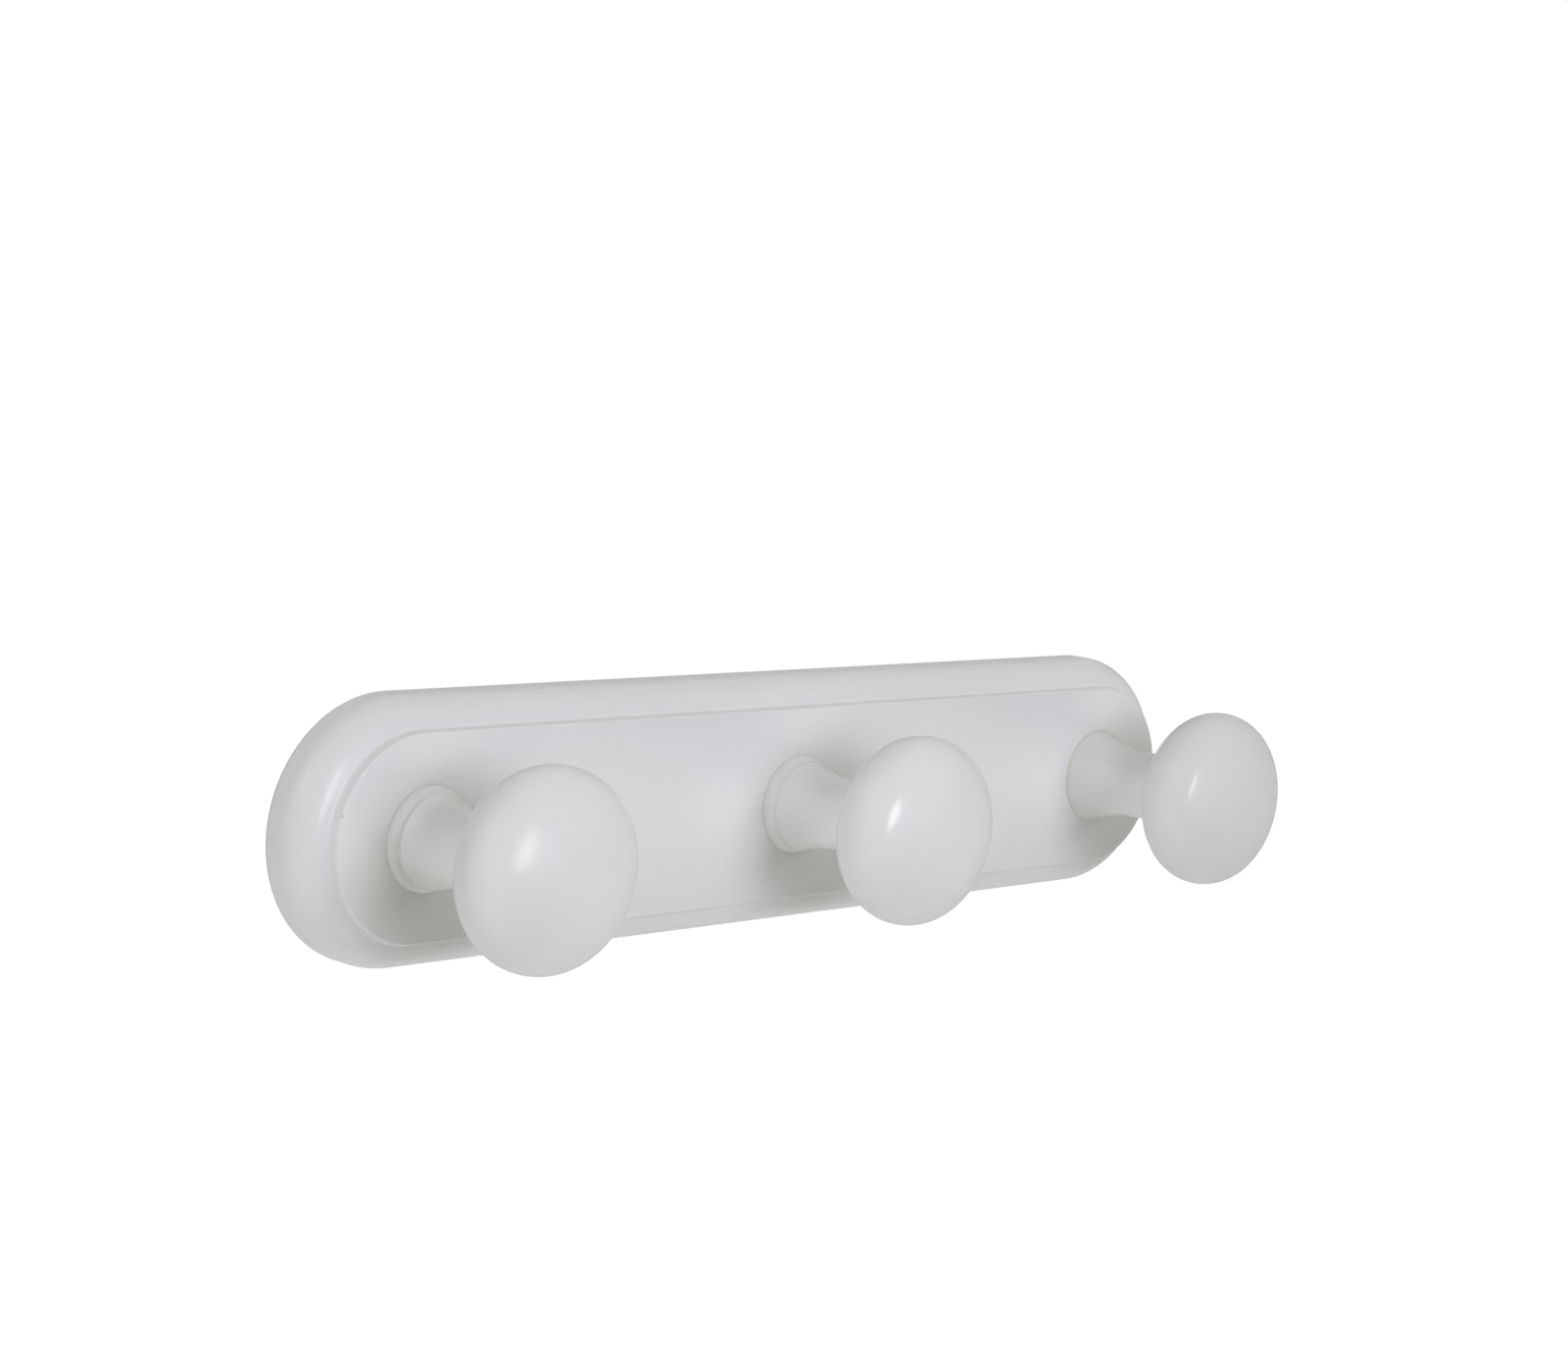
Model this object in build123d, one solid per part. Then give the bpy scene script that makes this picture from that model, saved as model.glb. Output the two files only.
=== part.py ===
from build123d import *

import os
from math import cos, radians, sin, sqrt

# Wall-mounted coat rail with three turned knobs, in millimetres.
# The back lies on the wall plane Y = 0, the front faces -Y, X runs along the rail and Z is up.

# Backboard: a board with round ends, an edge moulding and a raised field
BOARD_LENGTH = 340.0
BOARD_HEIGHT = 70.0
BOARD_THICKNESS = 18.0
EDGE_ROUND = 7.2
MOULDING_WIDTH = 8.2
FIELD_STEP = 3.8
FIELD_ARRIS = 0.5
BACK_ARRIS = 0.6

# Knobs: one in the middle and one in from each end of the board.
# Distances along a knob are measured from its base, which sits on the raised field.
KNOB_END_DISTANCE = 37.0
NECK_WAIST_DIAMETER = 20.0
NECK_WAIST_AT = 18.0
NECK_FLARE = 2.5
NECK_FILLET = 3.0
BEAD_WIDTH = 2.7
BEAD_STANDOUT = 1.25
BEAD_ROUND = 0.9
GROOVE_WIDTH = 1.9
GROOVE_DEPTH = 0.5
HEAD_DIAMETER = 51.6
HEAD_WIDEST_AT = 44.0
HEAD_RIM_RADIUS = 11.7
HEAD_CAP_RADIUS = 35.0
HEAD_BACK_SLOPE = 32.0

# Knob screws: countersunk wood screws driven from the back of the board
KNOB_SCREW_DIAMETER = 4.0
KNOB_SCREW_HEAD = 8.0
KNOB_SCREW_LENGTH = 40.0
KNOB_SCREW_SINK = 0.6

# Hanger plates: keyhole plates let in flush with the back, their round ends centred on the screws
HANGER_END_DISTANCE = 70.0
PLATE_WIDTH = 14.0
PLATE_THICKNESS = 1.5
PLATE_SCREW_SPACING = 36.0
KEYHOLE_ENTRY_DIAMETER = 10.0
KEYHOLE_SLOT_WIDTH = 4.5
KEYHOLE_RISE = 10.0
HEAD_POCKET_MARGIN = 1.5
HEAD_POCKET_DEPTH = 7.0

# Hanger screws: small countersunk screws through the ends of the plates
HANGER_SCREW_DIAMETER = 3.0
HANGER_SCREW_HEAD = 6.0
HANGER_SCREW_LENGTH = 12.0

# Fits
SCREW_CLEARANCE = 0.05
PLATE_CLEARANCE = 0.1

# Shape of every screw: the flat land round its head, then shares of its diameter and of its head
SCREW_LAND = 0.3
POINT_PER_DIAMETER = 1.1
RECESS_SPAN_SHARE = 0.55
RECESS_WIDTH_SHARE = 0.13
RECESS_DEPTH_SHARE = 0.22

# Placing: what is modelled along +Z points out of the wall, or into the board from its back
TOWARDS_FRONT = Rot(90, 0, 0)
OUTER_KNOB = BOARD_LENGTH / 2 - KNOB_END_DISTANCE
HANGER = BOARD_LENGTH / 2 - HANGER_END_DISTANCE
KNOB_PLACES = {"left": -OUTER_KNOB, "middle": 0.0, "right": OUTER_KNOB}
HANGER_PLACES = {"left": -HANGER, "right": HANGER}


def countersunk_screw(diameter, head_diameter, length, grow=0.0):
    """A screw along +Z with its head's face at Z = 0. With grow it is the hole for that screw."""
    shank = diameter / 2 + grow
    head = head_diameter / 2 + grow
    cone_end = SCREW_LAND + head - shank
    tip = length + grow
    shoulder = tip - POINT_PER_DIAMETER * diameter
    outline = Polyline(
        (0, 0),
        (head, 0),
        (head, SCREW_LAND),
        (shank, cone_end),
        (shank, shoulder),
        (0, tip),
        close=True,
    )
    return revolve(Plane.XZ * make_face(outline), Axis.Z)


def cross_recess(head_diameter):
    """The driver's cross, cut into a screw's head."""
    span = RECESS_SPAN_SHARE * head_diameter
    width = RECESS_WIDTH_SHARE * head_diameter
    cross = Rectangle(span, width) + Rectangle(width, span)
    return extrude(cross, RECESS_DEPTH_SHARE * head_diameter)


def screw(diameter, head_diameter, length):
    return countersunk_screw(diameter, head_diameter, length) - cross_recess(head_diameter)


def knob_profile():
    """Half section of a knob: X is the radius and Y runs out from the base."""
    waist = NECK_WAIST_DIAMETER / 2
    neck_start = waist + NECK_FLARE
    bead = neck_start + BEAD_STANDOUT
    groove_end = BEAD_WIDTH + GROOVE_WIDTH
    groove_floor = (neck_start - GROOVE_DEPTH, BEAD_WIDTH + GROOVE_WIDTH / 2)

    # The neck is one hollow arc, narrowest at the waist.
    neck_run = NECK_WAIST_AT - groove_end
    neck_radius = (neck_run**2 + NECK_FLARE**2) / (2 * NECK_FLARE)
    neck_centre = Vector(waist + neck_radius, NECK_WAIST_AT)

    # The head is a rim arc, tangent to a flatter cap in front and to a cone behind.
    rim_centre = Vector(HEAD_DIAMETER / 2 - HEAD_RIM_RADIUS, HEAD_WIDEST_AT)
    cap_offset = sqrt((HEAD_CAP_RADIUS - HEAD_RIM_RADIUS) ** 2 - rim_centre.X**2)
    cap_centre = Vector(0, HEAD_WIDEST_AT - cap_offset)
    cap_join = rim_centre + (rim_centre - cap_centre).normalized() * HEAD_RIM_RADIUS
    apex = cap_centre + Vector(0, HEAD_CAP_RADIUS)
    slope = radians(HEAD_BACK_SLOPE)
    rim_widest = rim_centre + Vector(HEAD_RIM_RADIUS, 0)
    cone_start = rim_centre + Vector(sin(slope), -cos(slope)) * HEAD_RIM_RADIUS

    # The cone runs in from the rim until it meets the neck's arc.
    inward = Vector(-cos(slope), -sin(slope))
    from_centre = cone_start - neck_centre
    along = from_centre.dot(inward)
    reach = sqrt(along**2 + neck_radius**2 - from_centre.length**2) - along
    neck_end = cone_start + inward * reach
    mid_turn = (neck_end.Y + groove_end) / 2 - NECK_WAIST_AT
    neck_mid = neck_centre + Vector(-sqrt(neck_radius**2 - mid_turn**2), mid_turn)
    cap_mid_height = sqrt(HEAD_CAP_RADIUS**2 - (cap_join.X / 2) ** 2)

    base = Polyline(
        (0, 0),
        (bead, 0),
        (bead, BEAD_WIDTH - BEAD_ROUND),
    )
    bead_edge = RadiusArc(base @ 1, (bead - BEAD_ROUND, BEAD_WIDTH), -BEAD_ROUND)
    groove = ThreePointArc(bead_edge @ 1, groove_floor, (neck_start, groove_end))
    neck = ThreePointArc(groove @ 1, neck_mid, neck_end)
    cone = Line(neck @ 1, cone_start)
    rim = ThreePointArc(cone @ 1, rim_widest, cap_join)
    cap = ThreePointArc(rim @ 1, cap_centre + Vector(cap_join.X / 2, cap_mid_height), apex)
    axis = Line(cap @ 1, (0, 0))
    face = make_face([*base.edges(), bead_edge, groove, neck, cone, rim, cap, axis])
    junction = face.vertices().sort_by_distance(neck_end)[0]
    return fillet(junction, NECK_FILLET)


def make_knob():
    """A turned knob along +Z, with the pilot hole for its screw."""
    body = revolve(Plane.XZ * knob_profile(), Axis.Z)
    return body - Pos(0, 0, KNOB_SCREW_SINK - BOARD_THICKNESS) * knob_screw_hole()


def knob_screw_hole():
    return countersunk_screw(KNOB_SCREW_DIAMETER, KNOB_SCREW_HEAD, KNOB_SCREW_LENGTH, SCREW_CLEARANCE)


def hanger_screw_hole():
    return countersunk_screw(
        HANGER_SCREW_DIAMETER, HANGER_SCREW_HEAD, HANGER_SCREW_LENGTH, SCREW_CLEARANCE
    )


def at_plate_ends(piece):
    """Copies of a piece at both screw places of a hanger plate, along the plate's length."""
    half = PLATE_SCREW_SPACING / 2
    return [Pos(0, side * half, 0) * piece for side in (-1, 1)]


def upright_slot(length_between_centres, width):
    return Rot(0, 0, 90) * SlotCenterToCenter(length_between_centres, width)


def make_plate():
    """A keyhole plate with its outer face at Z = 0, entry hole below and slot above."""
    outline = upright_slot(PLATE_SCREW_SPACING, PLATE_WIDTH)
    entry = Pos(0, -KEYHOLE_RISE / 2) * Circle(KEYHOLE_ENTRY_DIAMETER / 2)
    keyhole = entry + upright_slot(KEYHOLE_RISE, KEYHOLE_SLOT_WIDTH)
    return extrude(outline - keyhole, PLATE_THICKNESS) - at_plate_ends(hanger_screw_hole())


def make_plate_recess():
    """What is cut from the board for one hanger plate, its screws and the wall screw's head."""
    outline = upright_slot(PLATE_SCREW_SPACING, PLATE_WIDTH + 2 * PLATE_CLEARANCE)
    pocket_width = KEYHOLE_ENTRY_DIAMETER + 2 * HEAD_POCKET_MARGIN
    pocket = upright_slot(KEYHOLE_RISE, pocket_width)
    recess = extrude(outline, PLATE_THICKNESS)
    recess += Pos(0, 0, PLATE_THICKNESS) * extrude(pocket, HEAD_POCKET_DEPTH)
    for hole in at_plate_ends(hanger_screw_hole()):
        recess += hole
    return recess


def make_board():
    """The board along +Z from its back face, before the holes are cut."""
    slab_thickness = BOARD_THICKNESS - FIELD_STEP
    slab = extrude(SlotOverall(BOARD_LENGTH, BOARD_HEIGHT), slab_thickness)
    slab = fillet(slab.faces().sort_by(Axis.Z)[-1].edges(), EDGE_ROUND)
    slab = fillet(slab.faces().sort_by(Axis.Z)[0].edges(), BACK_ARRIS)
    field = SlotOverall(BOARD_LENGTH - 2 * MOULDING_WIDTH, BOARD_HEIGHT - 2 * MOULDING_WIDTH)
    raised = extrude(field, BOARD_THICKNESS)
    raised = fillet(raised.faces().sort_by(Axis.Z)[-1].edges(), FIELD_ARRIS)
    return slab + raised


def write(name, solid):
    export_step(solid, os.path.join("parts", f"{name}.step"))


os.makedirs("parts", exist_ok=True)

knob = make_knob()
knob_screw = screw(KNOB_SCREW_DIAMETER, KNOB_SCREW_HEAD, KNOB_SCREW_LENGTH)
plate = make_plate()
hanger_screw = screw(HANGER_SCREW_DIAMETER, HANGER_SCREW_HEAD, HANGER_SCREW_LENGTH)
board = TOWARDS_FRONT * make_board()

sink_hole = Cylinder(
    KNOB_SCREW_HEAD / 2 + SCREW_CLEARANCE, KNOB_SCREW_SINK, align=(Align.CENTER, Align.CENTER, Align.MIN)
)
for side, x in KNOB_PLACES.items():
    back = Pos(x, 0, 0) * TOWARDS_FRONT
    write(f"knob_{side}", back * Pos(0, 0, BOARD_THICKNESS) * knob)
    write(f"knob_screw_{side}", back * Pos(0, 0, KNOB_SCREW_SINK) * knob_screw)
    board -= back * sink_hole
    board -= back * Pos(0, 0, KNOB_SCREW_SINK) * knob_screw_hole()

for side, x in HANGER_PLACES.items():
    back = Pos(x, 0, 0) * TOWARDS_FRONT
    write(f"hanger_plate_{side}", back * plate)
    write(f"hanger_screws_{side}", Compound(back * one for one in at_plate_ends(hanger_screw)))
    board -= back * make_plate_recess()

write("backboard", board)
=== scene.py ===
from math import acos, asin, atan2, cos, pi, radians, sin, sqrt

import bmesh
import bpy
from mathutils import Matrix, Vector


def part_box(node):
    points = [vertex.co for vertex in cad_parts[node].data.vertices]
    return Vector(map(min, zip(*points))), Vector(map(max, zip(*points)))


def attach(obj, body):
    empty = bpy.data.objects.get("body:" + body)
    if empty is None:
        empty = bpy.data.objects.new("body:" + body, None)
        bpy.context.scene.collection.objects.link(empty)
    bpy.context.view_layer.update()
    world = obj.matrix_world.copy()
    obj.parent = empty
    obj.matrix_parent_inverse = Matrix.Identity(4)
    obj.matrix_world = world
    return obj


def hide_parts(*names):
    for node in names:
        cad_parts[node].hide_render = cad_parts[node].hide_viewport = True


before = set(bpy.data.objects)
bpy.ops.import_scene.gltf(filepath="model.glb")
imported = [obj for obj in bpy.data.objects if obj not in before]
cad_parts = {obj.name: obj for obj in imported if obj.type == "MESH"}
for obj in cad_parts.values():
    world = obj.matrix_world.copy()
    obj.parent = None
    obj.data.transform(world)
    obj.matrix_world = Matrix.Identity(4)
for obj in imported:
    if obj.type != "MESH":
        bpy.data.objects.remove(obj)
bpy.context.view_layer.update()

# Lengths are in metres and written in millimetres.
MM = 0.001

# The board's moulded edge
EDGE_ROUND = 10.1 * MM
MOULDING_WIDTH = 7.8 * MM
FIELD_STEP = 3.2 * MM
FIELD_ARRIS = 0.5 * MM
STEP_FILL = 1.0 * MM
STEP_LEAN = radians(9.0)
BACK_ARRIS = 0.6 * MM
FIELD_BORDER = 1.0 * MM

# The turned knobs, measured out from their base
NECK_WAIST_RADIUS = 10.0 * MM
NECK_WAIST_AT = 18.0 * MM
NECK_FLARE = 2.5 * MM
NECK_FILLET = 3.0 * MM
BEAD_WIDTH = 1.6 * MM
BEAD_STANDOUT = 1.25 * MM
BEAD_TAPER = 0.3 * MM
BEAD_ROUND = 1.0 * MM
GROOVE_WIDTH = 2.4 * MM
GROOVE_ROUND = 0.5 * MM
HEAD_RADIUS = 25.8 * MM
HEAD_WIDEST_AT = 44.0 * MM
HEAD_RIM_RADIUS = 11.7 * MM
HEAD_CAP_RADIUS = 35.0 * MM
HEAD_BACK_SLOPE = radians(32.0)

# The groove's depth below the neck: paint nearly fills the middle one and swells over the right one.
GROOVE_DEPTHS = {"left": 0.95 * MM, "middle": 0.1 * MM, "right": -0.35 * MM}

# Paint that has run into the corner between knob and board: a hair on two knobs, a fillet on one.
FOOT_FILLETS = {"left": 0.05 * MM, "middle": 0.05 * MM, "right": 0.55 * MM}
# Width of the line of painted shade in that corner
FOOT_SHADE_LINES = {"left": 0.25 * MM, "middle": 0.25 * MM, "right": 0.55 * MM}

# Long screws that hold the knobs, and short ones that hold the hanger plates
KNOB_SCREW_RADIUS = 2.0 * MM
KNOB_SCREW_HEAD_RADIUS = 4.0 * MM
KNOB_SCREW_LENGTH = 40.0 * MM
KNOB_SCREW_SINK = 0.6 * MM
KNOB_SCREW_PLAIN = 11.0 * MM
KNOB_SCREW_PITCH = 1.8 * MM
HANGER_SCREW_RADIUS = 1.5 * MM
HANGER_SCREW_HEAD_RADIUS = 3.0 * MM
HANGER_SCREW_LENGTH = 12.0 * MM
HANGER_SCREW_PLAIN = 0.8 * MM
HANGER_SCREW_PITCH = 1.35 * MM
SCREW_LAND = 0.3 * MM
SCREW_EASE = 0.1 * MM
SCREW_CLEARANCE = 0.05 * MM

# Shares of a screw's radius or of its head's radius
THREAD_ROOT = 0.65
POINT_LENGTH = 2.2
RECESS_REACH = 0.55
RECESS_HALF_WIDTH = 0.13
RECESS_DEPTH = 0.6
RECESS_TAPER = 0.3

# Keyhole hanger plates and the recesses routed for them
PLATE_EASE = 0.15 * MM
PLATE_CLEARANCE = 0.1 * MM
PLATE_SCREW_OFFSET = 18.0 * MM
KEYHOLE_ENTRY_RADIUS = 5.0 * MM
KEYHOLE_SLOT_RADIUS = 2.25 * MM
KEYHOLE_RISE = 10.0 * MM
HEAD_POCKET_MARGIN = 1.5 * MM
HEAD_POCKET_DEPTH = 7.0 * MM

# The white of each coat, where it is palest and where it is deepest
BOARD_WHITES = ("#DBDCDE", "#D7D8D9")
KNOB_WHITES_AND_SHADE = {
    "left": ("#DCDDDE", "#D8D9D9"),
    "middle": ("#DCDDDE", "#D8D9D9"),
    # The right knob's whites are darker: painted shade, for the light that falls off towards that end.
    "right": ("#D4D5D6", "#D0D1D1"),
}
MOTTLE_SIZE = 25.0 * MM

# Roughness of the paint and the strength of its gloss: the middle knob has the glossiest coat.
BOARD_GLOSS = (0.22, 0.4)
KNOB_GLOSS = {"left": (0.21, 0.36), "middle": (0.13, 0.44), "right": (0.17, 0.4)}
GLOSS_PATCH = 6.0 * MM
GLOSS_SPREAD = 0.02
PAINT_IOR = 1.5

# Grain and turning rings that show through the paint, drawn coarser than real ones so that they show
GRAIN_WIDTH = 0.7 * MM
GRAIN_STRETCH = 0.05
SANDED_GRAIN = 0.1
RING_WIDTH = 0.7 * MM

# The paint's own orange peel, and how high it all stands on the board and on the knobs
PEEL_SIZE = 1.4 * MM
PEEL_SHARE = 0.35
BOARD_RELIEF = 0.07 * MM
KNOB_RELIEF = 0.014 * MM

# Marks in the paint, and painted shade at a nick, at a knob's foot and along the back edge: a core is
# the share of a mark that has its full colour.
SPECK_SPACING = 11.0 * MM
SPECK_RADIUS = 0.35 * MM
SPECK_CORE = 0.5
SPECK_STRENGTH = 0.25
SPECK_COLOUR = "#77746C"
# The nick's colour is painted shade, a darker spot for its hollow.
NICK_PLACE = Vector((-160.6, -17.8, 7.6)) * MM
NICK_RADIUS = 0.45 * MM
NICK_CORE = 0.6
NICK_SHADE_COLOUR = "#BDBBB8"
# The line at a knob's foot is painted shade in the crease between knob and board.
FOOT_SHADE_CORE = 0.4
FOOT_SHADE_COLOUR = "#CBCAC2"
# A darker line along the back edge: painted shade.
BACK_EDGE_SHADE_FROM_BACK = 0.4 * MM
BACK_EDGE_SHADE_HALF_WIDTH = 0.32 * MM
BACK_EDGE_SHADE_COLOUR = "#A39F99"

# Bare beech, its grain drawn coarser than real grain so that it shows
BEECH_COLOURS = ("#CDAA7D", "#A87F54")
BEECH_GRAIN = 1.2 * MM
BEECH_STRETCH = 0.06
BEECH_ROUGHNESS = 0.75
BEECH_IOR = 1.5

# Colour and roughness of the zinc on the plates and on the screws, and how it clouds
PLATE_ZINC = ("#C9CCCE", 0.21)
SCREW_ZINC = ("#D0D2D3", 0.18)
CLOUD_SIZE = 3.0 * MM
CLOUD_SPREAD = 0.05

# Nearly all of a noise pattern lies between these values.
NOISE_LOW = 0.3
NOISE_HIGH = 0.7

# Sockets of a colour mix, which share their names with other sockets and so go by number
MIX_SHARE = 0
MIX_FIRST = 6
MIX_SECOND = 7
MIX_RESULT = 2

# Fineness of the meshes: steps round a whole turn
BOARD_STEPS = 192
KNOB_STEPS = 144
HOLE_STEPS = 48
SCREW_STEPS = 20

# Steps along the arcs of the profiles
BACK_ARRIS_STEPS = 4
EDGE_STEPS = 18
HOLLOW_STEPS = 8
FIELD_ARRIS_STEPS = 6
FOOT_STEPS = 6
GROOVE_STEPS = 6
NECK_STEPS = 24
NECK_FILLET_STEPS = 10
HEAD_RIM_STEPS = 30
HEAD_CAP_STEPS = 24

# Vertices this close are one, and corners sharper than this are shaded sharp.
WELD = 0.005 * MM
SHARP_ANGLE = radians(40)

# Which knobs and hangers there are
KNOB_SIDES = ("left", "middle", "right")
HANGER_SIDES = ("left", "right")

# The board's materials: paint outside, bare wood where it is cut
OUTSIDE = 0
CUT = 1

# Axes of a vertex's place
ALONG = 0
UP = 2

# The camera stands to the left of the rail and a little above it. Lens and sensor are in millimetres.
CAMERA_TURN = radians(46.5)
CAMERA_RISE = radians(7.19)
CAMERA_ROLL = radians(4.23)
CAMERA_DISTANCE = 918.0 * MM
CAMERA_TARGET = Vector((10.04, 0.0, 30.24)) * MM
CAMERA_LENS = 74.33
SENSOR_WIDTH = 36.0

# The floor lies as far below as it does under a rail that hangs on a wall. Sizes are in metres.
FLOOR_DROP = 1.2
FLOOR_SIZE = 16.0
FLOOR_FADE = 3.0
FLOOR_GLOW_BELOW = 0.55
FLOOR_COLOUR = "#E6E6E6"

# How much the white background lights the rail, and how much of it shows in reflections
AMBIENT_LEVEL = 0.03
MIRRORED_LEVEL = 0.5


def centre_of(node):
    """The middle of a CAD node's box."""
    low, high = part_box(node)
    return (low + high) / 2


# Modelling

def only(kind, geometry):
    """The vertices, edges or faces among what an operator gives back."""
    return [item for item in geometry if isinstance(item, kind)]


def line(bm, vert, place):
    """Draws an edge from a vertex to a place, and gives its end."""
    end = bmesh.ops.extrude_vert_indiv(bm, verts=[vert])["verts"][0]
    end.co = Vector(place).to_3d()
    return end


def arc(bm, vert, centre, turn, steps, axis=(0, 0, 1)):
    """Draws an arc from a vertex about a centre, and gives its end."""
    drawn = bmesh.ops.spin(
        bm, geom=[vert], cent=Vector(centre).to_3d(), axis=axis, angle=turn, steps=steps
    )
    return only(bmesh.types.BMVert, drawn["geom_last"])[0]


def turn_between(centre, start, finish):
    """The angle from one point to another about a centre, at most half a turn either way."""
    first = start - centre
    last = finish - centre
    turn = atan2(last.y, last.x) - atan2(first.y, first.x)
    return (turn + pi) % (2 * pi) - pi


def lathe(bm, steps):
    """Turns the drawn profile once round the Y axis, and closes its seam and poles."""
    bmesh.ops.spin(
        bm,
        geom=bm.verts[:] + bm.edges[:],
        cent=(0, 0, 0),
        axis=(0, 1, 0),
        angle=2 * pi,
        steps=steps,
        use_merge=True,
    )
    bmesh.ops.remove_doubles(bm, verts=bm.verts, dist=WELD)


def pull_apart(bm, verts, axis, distance):
    """Parts a round shape across its middle, which gives it straight sides and two round ends."""
    for side in (-1, 1):
        half = [vert for vert in verts if side * vert.co[axis] > 0]
        step = Vector((0, 0, 0))
        step[axis] = side * distance
        bmesh.ops.translate(bm, verts=half, vec=step)


def ring(bm, radius, place, stretch=0.0):
    """A closed loop about a place, facing along Y and drawn out upright by a stretch."""
    half_step = pi / HOLE_STEPS
    upright = Matrix.Rotation(pi / 2, 4, "X") @ Matrix.Rotation(half_step, 4, "Z")
    circle = bmesh.ops.create_circle(
        bm, segments=HOLE_STEPS, radius=radius / cos(half_step), matrix=upright
    )
    pull_apart(bm, circle["verts"], UP, stretch / 2)
    bmesh.ops.translate(bm, verts=circle["verts"], vec=place)
    return list(dict.fromkeys(edge for vert in circle["verts"] for edge in vert.link_edges))


def sink(bm, edges, depth, scale=1.0, centre=(0, 0, 0)):
    """Draws a loop in by a depth towards the front, scaled about a centre. Gives the new loop."""
    drawn = bmesh.ops.extrude_edge_only(bm, edges=edges)["geom"]
    verts = only(bmesh.types.BMVert, drawn)
    to_centre = Matrix.Translation(-Vector(centre))
    bmesh.ops.scale(bm, verts=verts, vec=(scale, 1, scale), space=to_centre)
    bmesh.ops.translate(bm, verts=verts, vec=(0, -depth, 0))
    for face in only(bmesh.types.BMFace, drawn):
        face.material_index = CUT
    return only(bmesh.types.BMEdge, drawn)


def fill(bm, edges, material=OUTSIDE):
    """Fills a flat loop and leaves the loops inside it open."""
    filled = bmesh.ops.triangle_fill(bm, edges=edges, use_beauty=True, normal=(0, 1, 0))["geom"]
    for face in only(bmesh.types.BMFace, filled):
        face.material_index = material


def face_outwards(bm):
    """Turns every face of one closed shape outwards. Its volume tells which way round that is."""
    bmesh.ops.recalc_face_normals(bm, faces=bm.faces)
    if bm.calc_volume(signed=True) < 0:
        bmesh.ops.reverse_faces(bm, faces=bm.faces)


def add_piece(name, bm, materials, node):
    """Makes the mesh an object that stands for a CAD node, smooth except at its sharp corners."""
    for face in bm.faces:
        face.smooth = True
    for edge in bm.edges:
        edge.smooth = edge.calc_face_angle(0) < SHARP_ANGLE
    mesh = bpy.data.meshes.new(name)
    bm.to_mesh(mesh)
    bm.free()
    for material in materials:
        mesh.materials.append(material)
    piece = bpy.data.objects.new(name, mesh)
    bpy.context.scene.collection.objects.link(piece)
    piece.modifiers.new("even_shading", "WEIGHTED_NORMAL").keep_sharp = True
    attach(piece, "root")
    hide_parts(node)


# The board

def make_board(materials):
    """An edge profile turned on a lathe and parted into round ends, then drilled and routed."""
    low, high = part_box("backboard")
    thickness = high.y - low.y
    end_radius = (high.z - low.z) / 2
    slab = thickness - FIELD_STEP

    # The round edge runs into a hollow of paint at the foot of the step.
    reach = EDGE_ROUND + STEP_FILL
    edge_turn = acos(1 - MOULDING_WIDTH / reach)
    edge = Vector((end_radius - EDGE_ROUND, EDGE_ROUND * sin(edge_turn) - slab))
    hollow = edge + Vector((cos(edge_turn), -sin(edge_turn))) * reach

    # The step leans back from the hollow to the field's rounded edge.
    lean = Vector((cos(STEP_LEAN), -sin(STEP_LEAN)))
    arris = Vector((0, FIELD_ARRIS - thickness))
    arris.x = ((hollow - arris).dot(lean) - STEP_FILL - FIELD_ARRIS) / lean.x

    # The profile from the back round the edge and up the step to the field
    bm = bmesh.new()
    end = bm.verts.new((end_radius - BACK_ARRIS, 0, 0))
    end = arc(bm, end, (end_radius - BACK_ARRIS, -BACK_ARRIS), -pi / 2, BACK_ARRIS_STEPS)
    end = line(bm, end, (end_radius, edge.y))
    end = arc(bm, end, edge, -edge_turn, EDGE_STEPS)
    end = arc(bm, end, hollow, edge_turn - STEP_LEAN, HOLLOW_STEPS)
    end = line(bm, end, arris + lean * FIELD_ARRIS)
    end = arc(bm, end, arris, STEP_LEAN - pi / 2, FIELD_ARRIS_STEPS)
    line(bm, end, (arris.x - FIELD_BORDER, -thickness))

    # Half a step of turn keeps every vertex off the line where the round shape is parted.
    half_step = pi / BOARD_STEPS
    bmesh.ops.scale(bm, verts=bm.verts, vec=(1 / cos(half_step), 1, 1))
    bmesh.ops.rotate(bm, verts=bm.verts, matrix=Matrix.Rotation(half_step, 3, "Y"))
    lathe(bm, BOARD_STEPS)
    pull_apart(bm, bm.verts, ALONG, (high.x - low.x) / 2 - end_radius)

    # Back and front are filled round the holes.
    rims = [edge for edge in bm.edges if edge.is_boundary]
    back = [edge for edge in rims if edge.verts[0].co.y > -thickness / 2]
    front = [edge for edge in rims if edge.verts[0].co.y < -thickness / 2]
    for side in KNOB_SIDES:
        hole = drill_for_knob(bm, side, thickness)
        back += hole[0]
        front += hole[1]
    for side in HANGER_SIDES:
        back += rout_for_plate(bm, side)
    fill(bm, back)
    fill(bm, front)
    face_outwards(bm)
    add_piece("painted_board", bm, materials, "backboard")


def drill_for_knob(bm, side, thickness):
    """A countersunk hole right through the board. Gives its loops on the back and on the front."""
    place = Vector((centre_of(f"knob_{side}").x, 0, 0))
    head = KNOB_SCREW_HEAD_RADIUS + SCREW_CLEARANCE
    shank = KNOB_SCREW_RADIUS + SCREW_CLEARANCE
    straight = KNOB_SCREW_SINK + SCREW_LAND
    cone = head - shank
    mouth = ring(bm, head, place)
    hole = sink(bm, mouth, straight)
    hole = sink(bm, hole, cone, shank / head, place)
    hole = sink(bm, hole, thickness - straight - cone)
    return mouth, hole


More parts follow.
